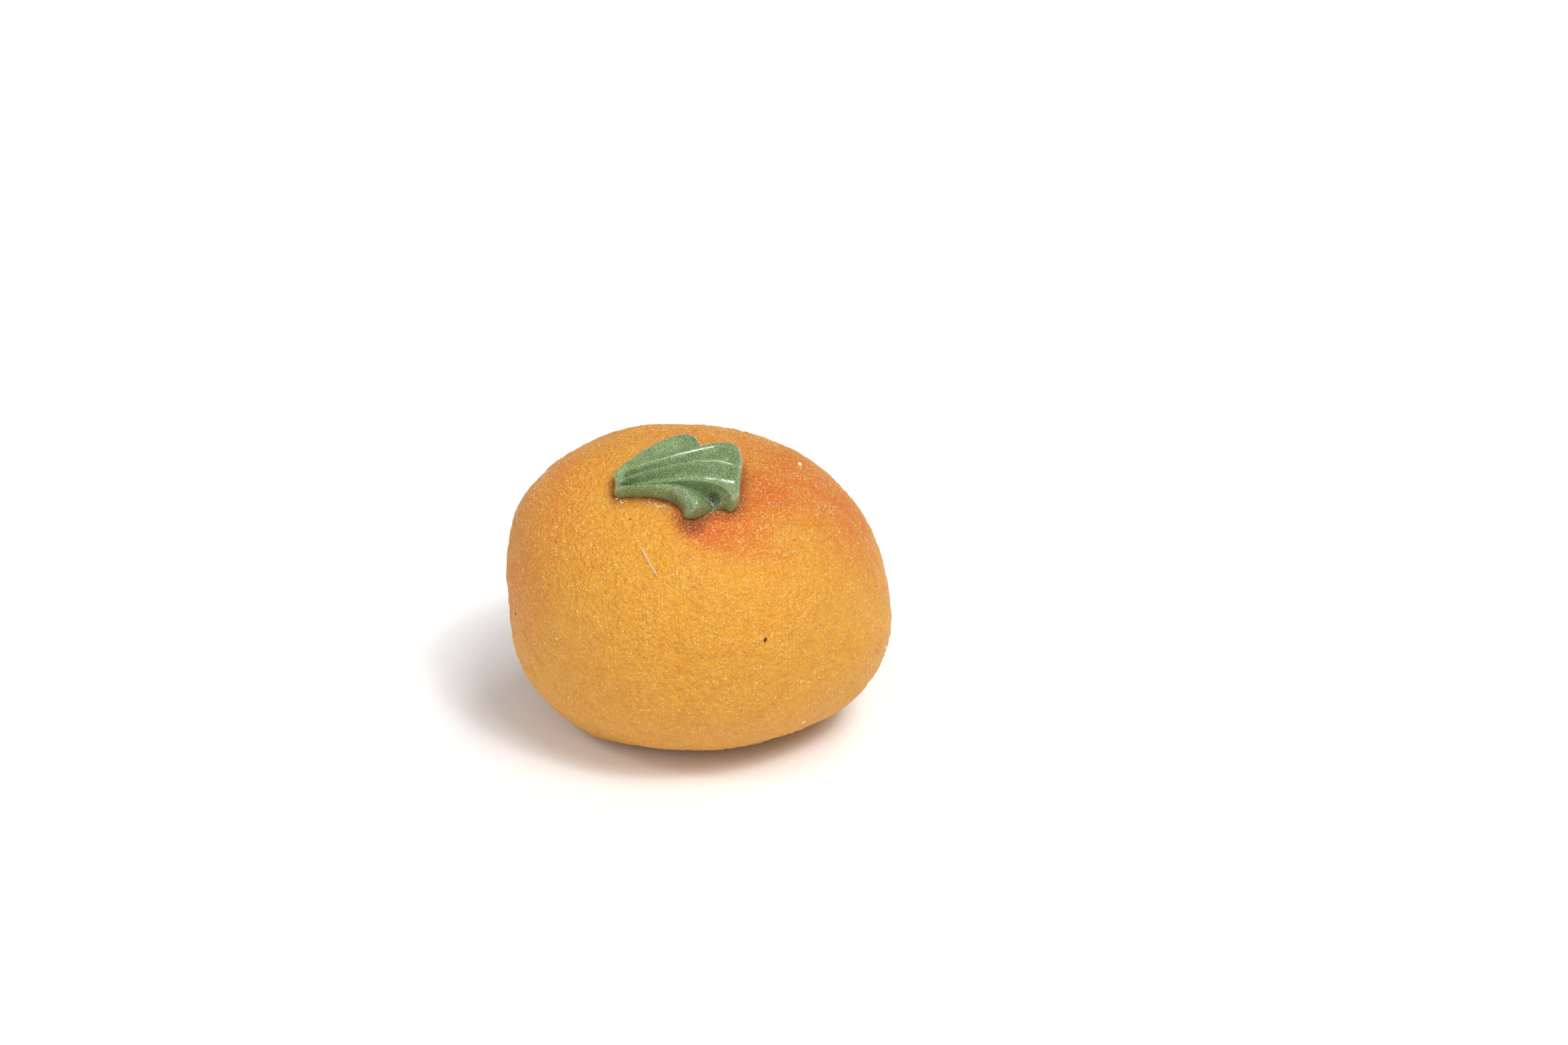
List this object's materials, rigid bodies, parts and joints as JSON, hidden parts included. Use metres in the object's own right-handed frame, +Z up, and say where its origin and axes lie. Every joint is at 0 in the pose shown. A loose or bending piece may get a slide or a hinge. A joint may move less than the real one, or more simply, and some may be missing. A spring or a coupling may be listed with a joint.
{
  "type": "marzipan fruit",
  "caption": "Hand-rolled round marzipan sweet in the form of a small citrus fruit, flattened where it rests, with a ribbed piped icing leaf on its crown.",
  "frame": {"origin": "middle of the outline seen from above, on the surface the fruit rests on", "axes": "+Z up, +X along the widest way across and towards the leaf's fan, -Y towards the viewer of the picture"},
  "size_m": [0.0322, 0.0308, 0.0268],
  "materials": {
    "marzipan": "grainy orange-yellow almond paste with a red-orange blush on its crown, faintly translucent, low gloss",
    "icing": "set royal icing in a greyed leaf green, satin to glossy along its crests"
  },
  "bodies": {
    "root": {"marzipan_body": "marzipan", "icing_leaf": "icing"}
  },
  "joints": []
}
